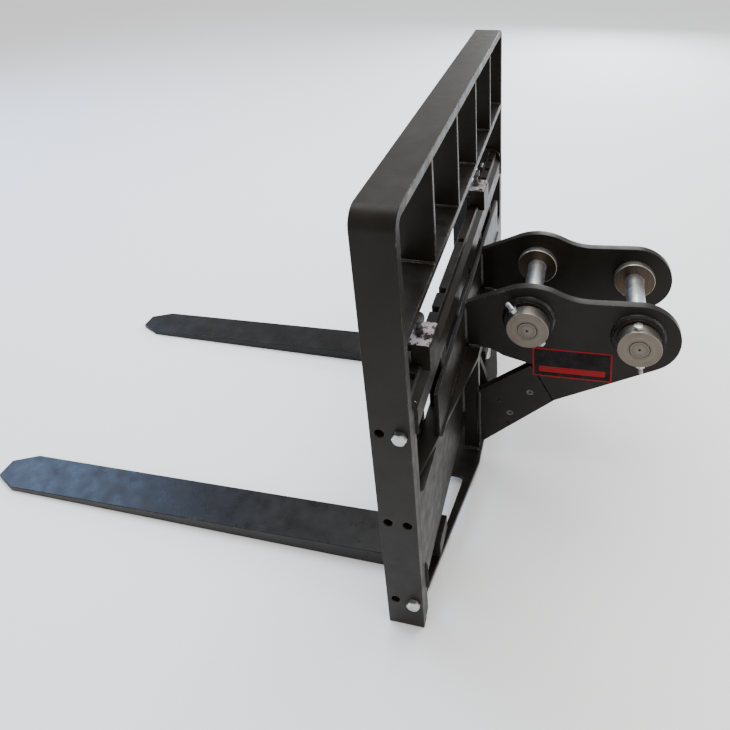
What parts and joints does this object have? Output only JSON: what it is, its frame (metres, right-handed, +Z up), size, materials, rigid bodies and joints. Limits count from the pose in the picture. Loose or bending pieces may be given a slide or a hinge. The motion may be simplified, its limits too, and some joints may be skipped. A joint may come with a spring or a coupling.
{
  "type": "pallet fork attachment",
  "caption": "Pallet fork attachment with a load guard, hook-on sliding forks with lock pins, and pin-on hitch ears.",
  "frame": {"origin": "on the ground under the middle of the whole attachment", "axes": "+X along the carriage to the left-hand end as seen from behind the hitch, -Y along the forks to their tips, +Y towards the hitch ears, +Z up"},
  "size_m": [1.17, 1.685, 0.975],
  "materials": {
    "frame_paint": "semi-gloss black",
    "fork_paint": "semi-gloss black",
    "turned_steel": "turned, bare",
    "pin_steel": "ground, bare",
    "zinc_fasteners": "zinc plated",
    "lock_steel": "semi-gloss black",
    "spring_steel": "bare spring wire",
    "label_film": "blank label with a plain coloured border"
  },
  "bodies": {
    "frame": {"blank_label": "label_film", "boss_rings_left": "frame_paint", "boss_rings_right": "frame_paint", "carriage_bottom_bar": "frame_paint", "carriage_lower_web": "frame_paint", "carriage_top_bar": "frame_paint", "carriage_upper_web": "frame_paint", "end_plate_left": "frame_paint", "end_plate_right": "frame_paint", "guard_bolts": "zinc_fasteners", "guard_frame": "frame_paint", "guard_lower_rail": "frame_paint", "guard_upright_1": "frame_paint", "guard_upright_2": "frame_paint", "guard_upright_3": "frame_paint", "guard_upright_4": "frame_paint", "hitch_column": "frame_paint", "hitch_ear_left": "frame_paint", "hitch_ear_right": "frame_paint", "hitch_foot_gusset": "frame_paint", "hitch_pin_front": "pin_steel", "hitch_pin_rear": "pin_steel", "hitch_strut": "frame_paint", "inner_bosses_left": "turned_steel", "inner_bosses_right": "turned_steel", "pin_collar_front_left": "turned_steel", "pin_collar_front_right": "turned_steel", "pin_collar_rear_left": "turned_steel", "pin_collar_rear_right": "turned_steel", "pin_cross_bolts": "zinc_fasteners", "pin_cross_nuts": "zinc_fasteners", "strut_screws": "zinc_fasteners", "web_ribs": "frame_paint", "wing_floor": "frame_paint", "wing_shelf": "frame_paint"},
    "fork_left": {"fork_bottom_hook_left": "frame_paint", "fork_left": "fork_paint", "fork_top_hook_left": "frame_paint", "lock_bush_left": "frame_paint", "lock_spring_left": "spring_steel"},
    "fork_right": {"fork_bottom_hook_right": "frame_paint", "fork_right": "fork_paint", "fork_top_hook_right": "frame_paint", "lock_bush_right": "frame_paint", "lock_spring_right": "spring_steel"},
    "lock_left": {"lock_knob_left": "lock_steel", "lock_pin_left": "lock_steel"},
    "lock_right": {"lock_knob_right": "lock_steel", "lock_pin_right": "lock_steel"}
  },
  "joints": [
    {"name": "fork_left_slide", "type": "slide", "parent": "frame", "child": "fork_left", "axis": [1, 0, 0], "range_m": [-0.201, 0.067]},
    {"name": "fork_right_slide", "type": "slide", "parent": "frame", "child": "fork_right", "axis": [1, 0, 0], "range_m": [-0.268, 0]},
    {"name": "lock_left_drop", "type": "slide", "parent": "fork_left", "child": "lock_left", "axis": [0, 0, 1], "range_m": [-0.014, 0], "deforming": ["lock_spring_left"]},
    {"name": "lock_right_drop", "type": "slide", "parent": "fork_right", "child": "lock_right", "axis": [0, 0, 1], "range_m": [-0.014, 0], "deforming": ["lock_spring_right"]}
  ]
}
